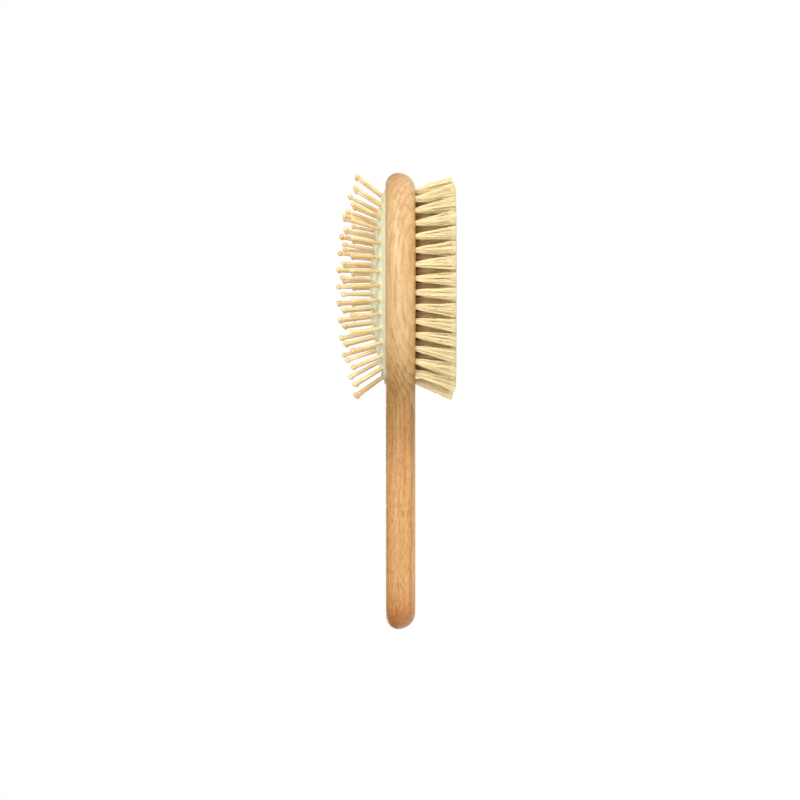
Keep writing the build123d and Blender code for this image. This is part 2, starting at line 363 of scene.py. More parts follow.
@dataclass(frozen=True)
class OiledBeech:
    """Steamed beech, sanded round and oiled: faint growth rings, fine fibres and short ray flecks, with painted
    shade darkening the neck and the handle's end.

    Lengths are in millimetres. The heart is the (Y, Z) place of the tree's middle. The grain of a noise and the
    room of a fleck are sizes along X, Y and Z. Each span is where a tone or a painted shade begins and where it
    is full; the neck's and the end's spans place painted shade.
    """

    ring_width: float = 1.9
    heart: Span = (15.0, 75.0)
    heart_drift: float = 0.016
    wander: float = 5.0
    ripple: float = 1.1
    sway_grain: Triple = (60.0, 30.0, 30.0)
    ripple_grain: Triple = (16.0, 5.0, 5.0)
    streak_grain: Triple = (55.0, 2.1, 2.1)
    fibre_grain: Triple = (7.0, 0.22, 0.22)
    mottle_grain: Triple = (3.2, 0.9, 0.9)
    ray_room: Triple = (4.6, 0.85, 0.85)
    short_ray_room: Triple = (2.6, 0.6, 0.6)
    end_pore_grain: Triple = (3.0, 0.9, 0.9)
    groove_depth: float = 0.05
    handle_span: Span = (22.0, -22.0)
    neck_head_span: Span = (34.0, 6.0)
    neck_handle_span: Span = (-38.0, -10.0)
    end_span: Span = (-90.0, -112.0)
    pale: str = "CFAF7C"
    middle: str = "C19B67"
    late: str = "A67944"
    fleck: str = "84501F"
    # Painted shade: the neck is darkened where its faces turn away from the light.
    neck_painted_shade: str = "D8CFA7"
    handle_tint: str = "F0DAB4"
    # Painted shade: the handle's last stretch is darkened as if in shade.
    end_painted_shade: str = "E3BF82"
    end_grain: str = "9C6431"

    def material(self) -> bpy.types.Material:
        """The material, with the grain running along X."""
        tree = ShaderTree("oiled_beech")
        place = tree.place()
        x, y, z = tree.axes(place)
        handle = x.between(*self.handle_span)
        neck = x.between(*self.neck_head_span) * x.between(*self.neck_handle_span)
        fibres = tree.noise(place, self.fibre_grain, 3.0)
        rays = tree.flecks(place, self.ray_room, 0.4, 0.45)
        ends = self._ends(tree, place)
        colour = self._figure(tree, self._rings(tree, place, x, y, z), neck)
        colour = self._streaks(tree, place, colour, fibres, handle)
        colour = tree.mix(rays * (0.3 + handle * 0.15), colour, linear(self.fleck))
        short_rays = tree.flecks(place, self.short_ray_room, 0.42, 0.4)
        colour = tree.mix(short_rays * (0.25 + handle * 0.15), colour, linear(self.fleck))
        # The handle's tint is the wood's own tone; the neck's and the end's are painted shade, multiplied on.
        tones_and_painted_shade = (
            (handle, self.handle_tint),
            (neck, self.neck_painted_shade),
            (x.between(*self.end_span), self.end_painted_shade),
        )
        for share, tint in tones_and_painted_shade:
            colour = tree.mix(share, colour, linear(tint), Blend.MULTIPLY)
        colour = tree.mix(ends, colour, linear(self.end_grain))
        grooves = fibres * 0.6 + (1 - rays) * 0.4
        return tree.feed(
            Base_Color=colour,
            Roughness=0.4 + fibres * 0.14 + ends * 0.12,
            Normal=tree.bump(grooves, self.groove_depth * MM, 0.6),
            Coat_Weight=0.3,
            Coat_Roughness=0.34,
        )

    def _figure(self, tree: ShaderTree, rings: Shade, neck: Shade) -> Shade:
        """The colour of the growth rings, which show half as much on the head and handle as at the neck."""
        stops = [(0.0, linear(self.pale)), (0.5, linear(self.middle)), (0.86, linear(self.late))]
        stops.append((1.0, linear(self.middle)))
        figure = tree.node("ShaderNodeValToRGB", {"stops": stops}, {0: rings})
        return tree.mix(0.5 + neck * 0.5, linear(self.middle), figure)

    def _streaks(self, tree: ShaderTree, place: Shade, colour: Shade, fibres: Shade, handle: Shade) -> Shade:
        """Lays long streaks, fibres and the handle's mottle on a colour.

        Args:
            tree: The material's tree.
            place: The point, in millimetres.
            colour: The colour under them.
            fibres: The fine fibres' noise.
            handle: 1 on the handle and 0 on the head.

        Returns:
            The streaked colour.
        """
        streaks = tree.noise(place, self.streak_grain, 3.0)
        mottle = tree.noise(place, self.mottle_grain, 3.0)
        colour = tree.mix(streaks.between(0.42, 0.66) * 0.55, colour, linear(self.pale))
        colour = tree.mix(streaks.between(0.5, 0.3) * 0.5, colour, linear(self.late))
        colour = tree.mix(fibres.between(0.45, 0.72) * 0.28, colour, linear(self.late))
        colour = tree.mix(mottle.between(0.5, 0.3) * (0.15 + handle * 0.4), colour, linear(self.pale))
        return tree.mix(mottle.between(0.5, 0.7) * (0.15 + handle * 0.5), colour, linear(self.late))

    def _rings(self, tree: ShaderTree, place: Shade, x: Shade, y: Shade, z: Shade) -> Shade:
        """The place within a growth ring, from 0 where it begins to 1 where it ends."""
        sway = (tree.noise(place, self.sway_grain, 1.0) - 0.5) * self.wander
        ripple = (tree.noise(place, self.ripple_grain, 1.0) - 0.5) * self.ripple
        across, up = y - self.heart[0], z - self.heart[1]
        radius = (across * across + up * up) ** 0.5 + sway + ripple + x * self.heart_drift
        return (radius / self.ring_width).fraction()

    def _ends(self, tree: ShaderTree, place: Shade) -> Shade:
        """How far the surface cuts across the fibres, as at the handle's end and the head's nose."""
        facing = tree.node("ShaderNodeNewGeometry", output="Normal")
        along, _, _ = tree.axes(facing)
        pores = tree.noise(place, self.end_pore_grain, 3.0).between(0.2, 0.7, 0.7, 1.0)
        return abs(along) ** 3.0 * 0.75 * pores


@dataclass(frozen=True)
class TurnedPinWood:
    """Pale birch pins, turned, tumbled smooth and waxed."""

    pale: str = "E5D29C"
    warm: str = "D8B87C"
    pink: str = "D3A878"
    streak: str = "BB9056"
    pin_to_pin_grain: Triple = (5.5, 5.5, 60.0)
    fine_grain: Triple = (0.4, 0.4, 7.0)
    fibre_room: Triple = (0.5, 0.5, 3.2)

    def material(self) -> bpy.types.Material:
        """The material, with the grain running roughly along Z, as the pins do."""
        tree = ShaderTree("turned_pin_wood")
        place = tree.place()
        pin_to_pin = tree.noise(place, self.pin_to_pin_grain, 0.0)
        grain = tree.noise(place, self.fine_grain, 3.0)
        fibres = tree.flecks(place, self.fibre_room, 0.3, 0.4)
        colour = tree.mix(pin_to_pin.between(0.35, 0.65), linear(self.pale), linear(self.warm))
        colour = tree.mix(pin_to_pin.between(0.38, 0.28) * 0.6, colour, linear(self.pink))
        colour = tree.mix(grain.between(0.42, 0.7) * 0.4, colour, linear(self.streak))
        colour = tree.mix(fibres * 0.35, colour, linear(self.streak))
        return tree.feed(
            Base_Color=colour,
            Roughness=0.36 + grain * 0.14,
            Normal=tree.bump(grain, 0.03 * MM, 0.5),
            Coat_Weight=0.25,
            Coat_Roughness=0.2,
        )


@dataclass(frozen=True)
class PaleRubber:
    """Cream natural rubber with a fine skin, faintly green where it is thick."""

    cream: str = "DEDCBF"
    green: str = "C8D6BA"
    bloom: str = "E8E5CE"
    # Painted shade: the rubber darkens and warms towards the rim, just above the wood.
    rim_painted_shade: str = "F0EBE2"
    rim_span: Span = (38.5, 36.5)
    cloud_grain: Triple = (13.0, 13.0, 13.0)
    skin_grain: Triple = (0.45, 0.45, 0.45)
    dust_grain: Triple = (2.6, 2.6, 2.6)

    def material(self) -> bpy.types.Material:
        """The material."""
        tree = ShaderTree("pale_rubber")
        place = tree.place()
        _, _, z = tree.axes(place)
        cloud = tree.noise(place, self.cloud_grain, 3.0)
        skin = tree.noise(place, self.skin_grain, 3.0)
        dust = tree.noise(place, self.dust_grain, 4.0)
        colour = tree.mix(cloud.between(0.35, 0.68), linear(self.cream), linear(self.green))
        colour = tree.mix(dust.between(0.52, 0.75) * 0.5, colour, linear(self.bloom))
        # Painted shade towards the rim, where the rubber meets the wood.
        colour = tree.mix(z.between(*self.rim_span), colour, linear(self.rim_painted_shade), Blend.MULTIPLY)
        return tree.feed(
            Base_Color=colour,
            Roughness=0.46 + dust * 0.2,
            Normal=tree.bump(skin, 0.035 * MM, 0.55, tree.bump(cloud, 0.25 * MM, 0.4)),
            Subsurface_Weight=0.25,
            Subsurface_Radius=(1.0, 0.95, 0.6),
            Subsurface_Scale=1.2 * MM,
        )


@dataclass(frozen=True)
class NaturalBristle:
    """Bleached boar bristle, darkened towards the root as painted shade. It reads each strand's own map: U is
    the strand's lot, V runs root to tip.
    """

    pale: str = "FFF6D2"
    straw: str = "FFEDB8"
    tan: str = "FDDC98"
    # The colour of the painted shade at the roots, and how far and how strongly it reaches.
    root: str = "BE8644"
    root_shade_reach: float = 0.45
    root_shade_strength: float = 0.5

    def material(self, name: str) -> bpy.types.Material:
        """The material under that name."""
        tree = ShaderTree(name)
        strand_map = tree.node("ShaderNodeUVMap", {"uv_map": STRAND_MAP})
        lot, along, _ = tree.axes(strand_map)
        stops = [(0.0, linear(self.pale)), (0.5, linear(self.straw)), (0.8, linear(self.straw))]
        stops.append((1.0, linear(self.tan)))
        shuffled = (lot * 37.7).fraction()
        colour = tree.node("ShaderNodeValToRGB", {"stops": stops}, {0: shuffled})
        colour = tree.mix(along.between(0.72, 1.0) * 0.45, colour, linear(self.pale))
        # Painted shade: the strands darken towards their roots, where the tufts shade each other.
        shadowed = along.between(self.root_shade_reach, 0.0) * self.root_shade_strength
        colour = tree.mix(shadowed, colour, linear(self.root), Blend.MULTIPLY)
        return tree.feed(Base_Color=colour, Roughness=0.42 + shuffled * 0.16)


# The rings' copies of the bristle: the second and inner copies take darker, browner tones and a deeper root
# shade, all painted shade for the shade among the tufts.
OUTER_BRISTLE = NaturalBristle(root_shade_reach=0.3, root_shade_strength=0.35)
SECOND_BRISTLE_SHADED = NaturalBristle(
    pale="FBE6B2", straw="F3CF8C", tan="E0AE62", root="B0601E", root_shade_reach=0.45, root_shade_strength=0.95
)
INNER_BRISTLE_SHADED = NaturalBristle(
    pale="F6DBA0", straw="E9BE76", tan="D09A50", root="A04E16", root_shade_reach=0.6, root_shade_strength=1.0
)


@dataclass(frozen=True)
class DrawnWire:
    """Bright drawn steel wire, dulled a little."""

    bright: str = "C9CCD0"
    dull: str = "8D9298"
    scratch_grain: Triple = (0.1, 1.4, 0.1)

    def material(self) -> bpy.types.Material:
        """The material."""
        tree = ShaderTree("drawn_wire")
        scratches = tree.noise(tree.place(), self.scratch_grain, 3.0)
        colour = tree.mix(scratches, linear(self.bright), linear(self.dull))
        normal = tree.bump(scratches, 0.01 * MM, 0.5)
        return tree.feed(Base_Color=colour, Metallic=1.0, Roughness=0.28 + scratches * 0.25, Normal=normal)


# ---------------------------------------------------------------------------------------------
# Meshes


def separate_solids(node: str) -> list[np.ndarray]:
    """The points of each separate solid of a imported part.

    Args:
        node: The part's node name.

    Returns:
        One array of points, N x 3, for each solid.
    """
    solid_mesh = bmesh.new()
    solid_mesh.from_mesh(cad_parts[node].data)
    bmesh.ops.remove_doubles(solid_mesh, verts=solid_mesh.verts, dist=0.0005 * MM)
    solid_mesh.verts.index_update()
    waiting, solids = set(solid_mesh.verts), []
    for start in solid_mesh.verts:
        if start not in waiting:
            continue
        waiting.discard(start)
        group, at = [start], 0
        while at < len(group):
            for edge in group[at].link_edges:
                near = edge.other_vert(group[at])
                if near in waiting:
                    waiting.discard(near)
                    group.append(near)
            at += 1
        solids.append(np.array([v.co for v in group]))
    solid_mesh.free()
    return solids


def new_piece(name: str, points: np.ndarray, faces: list[tuple[int, ...]]) -> bpy.types.Object:
    """A smooth-shaded mesh object in the scene.

    Args:
        name: The piece's name.
        points: Its points, N x 3.
        faces: The corners of each face, by point number.

    Returns:
        The object.
    """
    mesh = bpy.data.meshes.new(name)
    mesh.from_pydata(points.tolist(), [], faces)
    mesh.polygons.foreach_set("use_smooth", np.ones(len(mesh.polygons), bool))
    mesh.update()
    piece = bpy.data.objects.new(name, mesh)
    bpy.context.scene.collection.objects.link(piece)
    return piece


def dress(piece: bpy.types.Object, material: bpy.types.Material) -> None:
    """Gives the whole piece one material."""
    piece.data.materials.clear()
    piece.data.materials.append(material)


def eased(t: np.ndarray) -> np.ndarray:
    """Smooth step from 0 to 1 of values that are held between 0 and 1."""
    held = np.clip(t, 0, 1)
    return held * held * (3 - 2 * held)


def hump(away: np.ndarray, width: float) -> np.ndarray:
    """A smooth hump that is 1 where `away` is 0 and has nearly died out at twice its width."""
    return np.exp(-((away / width) ** 2))


# ---------------------------------------------------------------------------------------------
# Sub-assemblies


@dataclass
class WoodenBody:
    """The head, neck and handle in one piece, and the wires that hold the tufts in it."""

    node: str = "wooden_body"
    wire_node: str = "tuft_anchors"
    finish: OiledBeech = field(default_factory=OiledBeech)
    wire: DrawnWire = field(default_factory=DrawnWire)

    @property
    def bottom(self) -> float:
        """The level of the bristle side's face."""
        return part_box(self.node)[0].z

    @property
    def top(self) -> float:
        """The level of the pin side's face."""
        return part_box(self.node)[1].z

    def build(self) -> None:
        """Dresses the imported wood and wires, whose shapes stay."""
        dress(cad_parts[self.node], self.finish.material())
        dress(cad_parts[self.wire_node], self.wire.material())
        log.info("%s and %s dressed", self.node, self.wire_node)


@dataclass
class Pin:
    """One pin's place on the rubber and its direction."""

    seat: np.ndarray
    way: np.ndarray


@dataclass
class WoodenPins:
    """The turned pins, two to a node, each node on a body of its own name."""

    finish: TurnedPinWood = field(default_factory=TurnedPinWood)
    seat_from_tip: float = 17.6 * MM

    @property
    def nodes(self) -> list[str]:
        """The names of the pins' nodes."""
        return sorted(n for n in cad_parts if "_pins_" in n)

    def build(self) -> None:
        """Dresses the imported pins, whose shapes stay."""
        material = self.finish.material()
        for node in self.nodes:
            dress(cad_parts[node], material)
        log.info("%d nodes of pins dressed", len(self.nodes))

    def pins(self) -> list[Pin]:
        """Each pin's seat and direction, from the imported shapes."""
        found = []
        for node in self.nodes:
            for points in separate_solids(node):
                middle = points.mean(0)
                way = np.linalg.svd(points - middle, full_matrices=False)[2][0]
                way = way * np.sign(way[2])
                reach = ((points - middle) @ way).max()
                found.append(Pin(middle + way * (reach - self.seat_from_tip), way))
        return found


@dataclass
class AirCushion:
    """The domed rubber skin, its skirt in the wood, a gathered collar round each pin and the vent.

    An edge is where a collar or the vent begins to end and how long that takes, as shares of its radius.
    """

    wood_top: float
    pins: list[Pin]
    node: str = "cushion"
    around: int = 620
    rings: int = 104
    bead_reach: float = 1.1 * MM
    fit: float = 0.08 * MM
    end_radius: float = 11.7 * MM
    crest_height: float = 7.8 * MM
    rim_rise: float = 0.5 * MM
    rim_round: float = 0.55 * MM
    skin: float = 1.5 * MM
    collar_height: float = 0.62 * MM
    collar_radius: float = 1.75 * MM
    collar_edge: Span = (0.72, 0.5)
    dimple_depth: float = 0.3 * MM
    dimple_radius: float = 3.1 * MM
    dimple_width: float = 0.9 * MM
    border_inset: float = 2.1 * MM
    border_depth: float = 0.22 * MM
    border_width: float = 0.8 * MM
    vent_from_end: float = 6.6 * MM
    vent_radius: float = 0.62 * MM
    vent_depth: float = 1.1 * MM
    vent_edge: Span = (0.75, 0.5)
    vent_lip: float = 0.18 * MM
    vent_lip_width: float = 0.45 * MM
    rim_lift: float = 0.12 * MM
    skirt_below: float = 1.5 * MM
    rim_held: float = 0.2 * MM
    roll_turns: Span = (20, 90)
    roll_steps: int = 6
    shoulder_drop: float = 0.6 * MM
    inner_shares: Span = (0.88, 0.06)
    inner_steps: int = 12
    stretch_top: float = 1.1 * MM
    finish: PaleRubber = field(default_factory=PaleRubber)

    def __post_init__(self) -> None:
        """Reads the cushion's middle and half-sizes from its packed box."""
        low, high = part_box(self.node)
        self.floor = low.z
        self.middle_x = (low.x + high.x) / 2
        self.half_length = (high.x - low.x) / 2 - self.bead_reach
        self.half_width = (high.y - low.y) / 2 - self.bead_reach
        self.rise = self.crest_height - self.rim_rise
        self.crest = self.wood_top + self.crest_height

    def build(self) -> bpy.types.Object:
        """Builds the rubber as one closed mesh.

        Returns:
            The piece.
        """
        outline = self._outline()
        levels = [self._skin_ring(outline, share) for share in self._shares()]
        levels += self._skirt_rings(outline)
        levels += self._inner_rings(outline)
        points, faces = self._closed(levels)
        piece = new_piece("air_cushion_skin", points, faces)
        dress(piece, self.finish.material())
        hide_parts(self.node)
        rim = self.wood_top + self.rim_rise
        rim - self.rim_held
        rim + self.stretch_top
        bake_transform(piece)
        log.info("%s built with %d faces", piece.name, len(piece.data.polygons))
        return piece

    def _outline(self) -> np.ndarray:
        """Evenly spaced places round the four-arc oval, from its middle, N x 2."""
        a, b, r = self.half_length, self.half_width, self.end_radius
        drop = ((a - r) ** 2 - (b - r) ** 2) / (2 * (b - r))
        side_radius = drop + b
        join = math.atan2(drop, a - r)
        join_turn = math.atan2(r * math.sin(join), a - r + r * math.cos(join))
        turns = np.linspace(0, 2 * math.pi, 40 * self.around + 1)
        c, s = np.abs(np.cos(turns)), np.abs(np.sin(turns))
        to_end = c * (a - r) + np.sqrt(np.maximum((c * (a - r)) ** 2 - (a - r) ** 2 + r**2, 0))
        to_side = -s * drop + np.sqrt((s * drop) ** 2 - drop**2 + side_radius**2)
        reach = np.where(np.arctan2(s, c) < join_turn, to_end, to_side)
        fine = np.stack([reach * np.cos(turns), reach * np.sin(turns)], 1)
        travelled = np.concatenate([[0], np.cumsum(np.linalg.norm(np.diff(fine, axis=0), axis=1))])
        wanted = np.arange(self.around) * travelled[-1] / self.around
        return np.stack([np.interp(wanted, travelled, fine[:, i]) for i in (0, 1)], 1)

    def _shares(self) -> np.ndarray:
        """The rings' sizes as shares of the outline, from the middle outwards."""
        return np.linspace(1 / self.rings, 1 - self.rim_round / self.half_width, self.rings)

    def _dome(self, flat: np.ndarray, thinner: float = 0.0) -> np.ndarray:
        """The smooth dome's level over places on the plan, `thinner` inside the outer skin."""
        across = (self.half_width**2 + self.rise**2) / (2 * self.rise)
        along = (self.half_length**2 + self.rise**2) / (2 * self.rise)
        axis = self.crest - across
        ridge = self.crest - along + np.sqrt((along - thinner) ** 2 - flat[:, 0] ** 2)
        return axis + np.sqrt(np.maximum((ridge - axis) ** 2 - flat[:, 1] ** 2, 0))

    def _skin_ring(self, outline: np.ndarray, share: float) -> np.ndarray:
        """One ring of the outer skin, with its border, collars, dimples and vent."""
        flat = outline * share
        level = self._dome(flat)
        inset = np.linalg.norm(outline, axis=1) * (1 - share)
        level -= self.border_depth * hump(inset - self.border_inset, self.border_width)
        points = np.column_stack([flat[:, 0] + self.middle_x, flat[:, 1], level])
        lift = np.zeros(len(points))
        for pin in self.pins:
            apart = points - pin.seat
            beside = np.linalg.norm(apart - np.outer(apart @ pin.way, pin.way), axis=1)
            collar = 1 - eased((beside / self.collar_radius - self.collar_edge[0]) / self.collar_edge[1])
            lift = np.maximum(lift, self.collar_height * collar)
            lift -= self.dimple_depth * hump(beside - self.dimple_radius, self.dimple_width)
        vent_x = self.middle_x - self.half_length + self.vent_from_end
        from_vent = np.hypot(points[:, 0] - vent_x, points[:, 1])
        hole = 1 - eased((from_vent / self.vent_radius - self.vent_edge[0]) / self.vent_edge[1])
        lift -= self.vent_depth * hole
        lift += self.vent_lip * hump(from_vent - 2 * self.vent_radius, self.vent_lip_width)
        points[:, 2] += lift
        return points

    def _skirt_rings(self, outline: np.ndarray) -> list[np.ndarray]:
        """The rolled rim and the skirt that goes down into the wood's pocket."""
        rim, made = self.wood_top + self.rim_rise, []
        for turn in np.linspace(*self.roll_turns, self.roll_steps):
            side = self.rim_round * (1 - math.sin(math.radians(turn)))
            down = self.rim_round * (1 - math.cos(math.radians(turn)))
            made.append(self._level_ring(outline, side + self.fit, rim - down + self.rim_lift))
        made.append(self._level_ring(outline, self.fit, self.wood_top - self.skirt_below))
        made.append(self._level_ring(outline, self.fit, self.floor))
        return made

    def _inner_rings(self, outline: np.ndarray) -> list[np.ndarray]:
        """The inside of the skirt and the underside of the skin."""
        wall = self.skin + self.fit
        made = [self._level_ring(outline, wall, self.floor)]
        made.append(self._level_ring(outline, wall, self.wood_top - self.skin - self.shoulder_drop))
        for share in np.linspace(*self.inner_shares, self.inner_steps):
            flat = outline * share
            level = self._dome(flat, self.skin) - self.dimple_depth
            made.append(np.column_stack([flat[:, 0] + self.middle_x, flat[:, 1], level]))
        return made

    def _level_ring(self, outline: np.ndarray, inset: float, level: float) -> np.ndarray:
        """The outline, a distance inside itself and at one level."""
        tangent = np.roll(outline, -1, axis=0) - np.roll(outline, 1, axis=0)
        inward = np.column_stack([-tangent[:, 1], tangent[:, 0]])
        inward /= np.linalg.norm(inward, axis=1)[:, None]
        flat = outline + inward * inset
        return np.column_stack([flat[:, 0] + self.middle_x, flat[:, 1], np.full(len(flat), level)])

    def _closed(self, levels: list[np.ndarray]) -> tuple[np.ndarray, list[tuple[int, ...]]]:
        """Joins the rings, in their order, and closes the first and last with a middle point."""
        count = self.around
        middles = [level.mean(0) for level in (levels[0], levels[-1])]
        points = np.concatenate([*levels, middles])
        first, last = len(points) - 2, len(points) - 1
        faces = []
        for ring in range(len(levels) - 1):
            for at in range(count):
                a, b = ring * count + at, ring * count + (at + 1) % count
                faces.append((a, a + count, b + count, b))
        end = (len(levels) - 1) * count
        for at in range(count):
            after = (at + 1) % count
            faces.append((first, at, after))
            faces.append((end + after, end + at, last))
        return points, faces


@dataclass
class BristleTufts:
    """Strands of bristle, folded into their holes, fanned out, and trimmed level at the tips.

    `outward` stretches each tuft's own lean, `combed` pushes all tips along X, and `clumping` is how far
    the tips of a clump close up. A tuft's outer strands end higher, by up to `tuft_doming`, and so do those
    past `end_share` of the field's half-length, by up to `end_rounding`. Tufts past `fan_share` of it have
    their tips' spread raised by up to the share `end_fan`.
    """

    wood_bottom: float
    strands: int = 140
    levels: int = 7
    in_hole: float = 3.0 * MM
    strand_radius: float = 0.14 * MM
    root_spread: float = 1.22 * MM
    tip_spread: float = 3.7 * MM
    wave: float = 0.4 * MM
    stray: float = 0.6 * MM
    pitches: Span = (1.1, 2.3)
    clumps: int = 9
    clump_turn: float = 2.4
    clumping: float = 0.5
    loyal_share: float = 0.85
    outward: float = 1.45
    combed: float = -0.6 * MM
    tuft_doming: float = 0.7 * MM
    end_rounding: float = 1.5 * MM
    end_share: float = 0.93
    end_fan: float = 0.5
    fan_share: float = 0.6
    fan_power: float = 0.75
    trim_shape: float = 1.3
    trim_scale: float = 0.2 * MM
    short_share: float = 0.05
    short_by: float = 0.9 * MM
    thickness_range: Span = (0.8, 1.2)
    tip_taper: float = 0.72
    gather_rate: float = 1.6
    tip_slice: float = 0.02 * MM
    fold_slice: float = 0.6 * MM
    lots: int = 48
    seed: int = 41
    # Each ring's copy of the bristle; the inner rings' copies are darker as painted shade.
    finishes_with_painted_shade: dict[TuftRing, NaturalBristle] = field(
        default_factory=lambda: {
            TuftRing.OUTER: OUTER_BRISTLE,
            TuftRing.SECOND: SECOND_BRISTLE_SHADED,
            TuftRing.THIRD: INNER_BRISTLE_SHADED,
            TuftRing.MIDDLE: INNER_BRISTLE_SHADED,
        }
    )

    def build(self, ring: TuftRing) -> bpy.types.Object:
        """Builds all the tufts of one ring as one piece.

        Args:
            ring: The ring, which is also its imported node.

        Returns:
            The piece, on the wood.
        """
        random = np.random.default_rng(self.seed + list(TuftRing).index(ring))
        lines = [self._strand_lines(root, tip, random) for root, tip in self._tufts(ring)]
        centres = np.concatenate(lines)
        points, faces = self._tubes(centres, random)
        piece = new_piece(ring.value + "_strands", points, faces)
        self._map_strands(piece.data, len(centres), random)
        dress(piece, self.finishes_with_painted_shade[ring].material("bristle_" + ring.name.lower()))
        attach(piece, Body.WOOD.value)
        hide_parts(ring.value)
        log.info("%s built with %d strands", piece.name, len(centres))
        return piece

    def _tufts(self, ring: TuftRing) -> Iterator[tuple[np.ndarray, np.ndarray]]:
        """Each tuft's place on the wood's face and the middle of its trimmed tips."""
        for points in separate_solids(ring.value):
            low, high = points[:, 2].min(), points[:, 2].max()
            tip = points[points[:, 2] < low + self.tip_slice].mean(0)
            head = points[points[:, 2] > high - self.fold_slice].mean(0)
            share = (self.wood_bottom - tip[2]) / (head[2] - tip[2])
            yield tip + (head - tip) * share, tip

    def _strand_lines(self, root: np.ndarray, tip: np.ndarray, random: np.random.Generator) -> np.ndarray:
        """The centre lines of one tuft's strands.

        Args:
            root: The tuft's middle on the wood's face.
            tip: The middle of its trimmed tips.
            random: The source of unevenness.

        Returns:
            Points, strands x (levels + 1) x 3, from inside the hole to the tips.
        """
        count = self.strands
        number = np.arange(count)
        turn = number * math.pi * (3 - math.sqrt(5)) + random.uniform(0, 0.6, count)
        out = np.sqrt((number + 0.5) / count)
        disc = np.stack([out * np.cos(turn), out * np.sin(turn)], 1)
        fanned = self._clumped(disc, random)
        way = (tip - root)[:2] * self.outward + (self.combed, 0)
        tips = root[:2] + way + fanned * self.tip_spread
        tip_at = random.gamma(self.trim_shape, self.trim_scale, count) + self.tuft_doming * out**3
        tip_at += self.end_rounding * self._past_end(tips[:, 0], self.end_share) ** 2
        tip_at[random.random(count) < self.short_share] += self.short_by
        t = np.linspace(0, 1, self.levels + 1)[None, :]
        top = self.wood_bottom + self.in_hole
        z = top + (tip_at[:, None] - top) * t
        free = np.clip((self.wood_bottom - z) / self.wood_bottom, 0, 1)
        middle = root[:2] + way * ((self.wood_bottom - z) / self.wood_bottom)[..., None]
        fan = self.tip_spread * (1 + self.end_fan * self._past_end(tip[:1], self.fan_share)[0])
        spread = self.root_spread + (fan - self.root_spread) * free**self.fan_power
        gathered = disc[:, None] + (fanned - disc)[:, None] * eased(free * self.gather_rate)[..., None]
        waves, bend = self._unevenness(free, random)
        flat = middle + gathered * spread[..., None] + waves + bend
        return np.concatenate([flat, z[..., None]], 2)

    def _clumped(self, disc: np.ndarray, random: np.random.Generator) -> np.ndarray:
        """Places on the unit disc, most of them drawn towards the middle of their nearest clump."""
        count = len(disc)
        clump = random.integers(0, self.clumps, count)
        number = np.arange(self.clumps)
        turn = number * self.clump_turn + random.uniform(0, ROUGH_TURN)
        out = np.sqrt((number + 0.5) / self.clumps)
        centres = np.stack([out * np.cos(turn), out * np.sin(turn)], 1)
        nearest = np.argmin(np.linalg.norm(disc[:, None] - centres[None], axis=2), axis=1)
        clump = np.where(random.random(count) < self.loyal_share, nearest, clump)
        return disc + (centres[clump] - disc) * self.clumping

    def _unevenness(self, free: np.ndarray, random: np.random.Generator) -> tuple[np.ndarray, np.ndarray]:
        """Each strand's waves and its bend, over how far along its free length each point is."""
        count = len(free)
        side = random.normal(size=(count, 2))
        side /= np.linalg.norm(side, axis=1)[:, None]
        phase = random.uniform(0, ROUGH_TURN, count)[:, None]
        pitch = random.uniform(*self.pitches, count)[:, None]
        swing = np.sin(ROUGH_TURN * pitch * free + phase) - np.sin(phase)
        waves = side[:, None] * (self.wave * free * swing)[..., None]
        bend = random.normal(size=(count, 2))[:, None] * (self.stray * free**2)[..., None]
        return waves, bend

    def _past_end(self, x: np.ndarray, start: float) -> np.ndarray:
        """How far tips stand past this share of the field's half-length, from 0 to 1 at its end."""
        low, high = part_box(TuftRing.OUTER.value)
        half = (high.x - low.x) / 2
        share = np.abs(x - (high.x + low.x) / 2) / half
        return np.clip((share - start) / (1 - start), 0, 1)

    def _tubes(
        self, centres: np.ndarray, random: np.random.Generator
    ) -> tuple[np.ndarray, list[tuple[int, ...]]]:
        """A closed three-sided tube along each centre line, tapering a little to its tip."""
        count, levels = centres.shape[:2]
        thick = self.strand_radius * random.uniform(*self.thickness_range, count)[:, None]
        taper = np.linspace(1.0, self.tip_taper, levels)[None, :]
        twist = random.uniform(0, ROUGH_TURN, count)[:, None, None]
        corner = np.arange(3)[None, None, :] * (2 * math.pi / 3) + twist
        ring = np.stack([np.cos(corner), np.sin(corner), np.zeros_like(corner)], 3)
        points = centres[:, :, None] + ring * (thick * taper)[..., None, None]
        faces = []
        for strand in range(count):
            base = strand * levels * 3
            for level in range(levels - 1):
                for k in range(3):
                    a, b = base + level * 3 + k, base + level * 3 + (k + 1) % 3
                    faces.append((a, a + 3, b + 3, b))
            last = base + (levels - 1) * 3
            faces.append((base, base + 1, base + 2))
            faces.append((last + 2, last + 1, last))
        return points.reshape(-1, 3), faces

